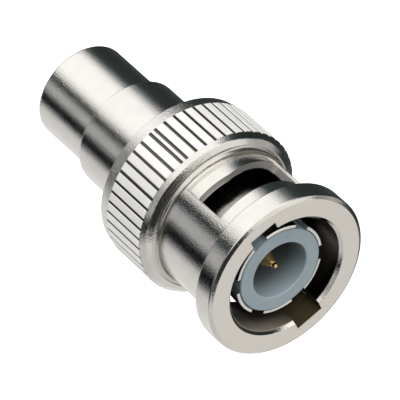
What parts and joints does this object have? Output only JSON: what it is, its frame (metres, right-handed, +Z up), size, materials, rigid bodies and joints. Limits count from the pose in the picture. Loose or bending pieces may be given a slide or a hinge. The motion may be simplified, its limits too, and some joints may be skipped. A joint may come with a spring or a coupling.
{
  "type": "bayonet plug to phono socket adapter",
  "caption": "Coaxial adapter with a bayonet plug and turning sleeve at one end and a phono socket at the other.",
  "frame": {"origin": "centre of the phono rim, which the adapter stands on", "axes": "+Z up the axis, out of the plug's mouth; +X at the middle of one bayonet window"},
  "size_m": [0.0146, 0.0146, 0.0278],
  "materials": {
    "nickel": "bright nickel plate on brass",
    "sleeve_nickel": "bright nickel plate on a cast sleeve, fine pits and nicks at its edges",
    "contact_nickel": "bright nickel plate",
    "gasket_rubber": "matte black",
    "spring_steel": "plain spring steel",
    "grey_plastic": "blue-grey, satin",
    "gold": "gold plate",
    "white_plastic": "off-white, satin"
  },
  "bodies": {
    "shell": {"adapter_body": "nickel", "outer_contact": "contact_nickel", "face_gasket": "gasket_rubber", "wave_spring": "spring_steel", "plug_insulator": "grey_plastic", "centre_pin": "gold", "phono_insulator": "white_plastic", "phono_contact": "gold"},
    "washer": {"thrust_washer": "spring_steel"},
    "sleeve": {"coupling_sleeve": "sleeve_nickel", "snap_ring": "spring_steel"}
  },
  "joints": [
    {"name": "sleeve_draw", "type": "slide", "parent": "shell", "child": "washer", "axis": [0, 0, 1], "range_m": [0, 0.0004], "stiffness_N_per_m": 1500, "springref_m": -0.001, "deforming": ["wave_spring"]},
    {"name": "sleeve_turn", "type": "hinge", "parent": "washer", "child": "sleeve", "pos_m": [0, 0, 0.0138], "axis": [0, 0, 1], "continuous": true}
  ]
}
